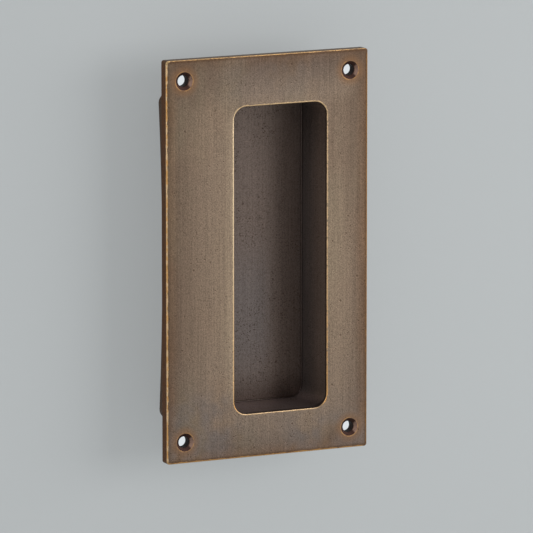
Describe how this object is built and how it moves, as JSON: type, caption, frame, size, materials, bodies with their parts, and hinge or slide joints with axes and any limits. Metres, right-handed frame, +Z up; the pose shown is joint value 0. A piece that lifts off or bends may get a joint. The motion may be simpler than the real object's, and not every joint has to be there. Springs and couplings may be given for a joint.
{
  "type": "pocket door pull",
  "caption": "Flat rectangular flush plate with countersunk corner holes and an off-centre finger pocket, undercut behind its wide margin.",
  "frame": {"origin": "middle of the screw holes, in the plane of the plate's back face, which seats on the door", "axes": "+X across the plate toward its narrow margin, +Y into the door, +Z up the plate"},
  "size_m": [0.082, 0.0238, 0.15],
  "materials": {
    "aged_brass": "dark antique patina, brushed along the height, rubbed bright at the edges"
  },
  "bodies": {
    "root": {"flush_pull": "aged_brass"}
  },
  "joints": []
}
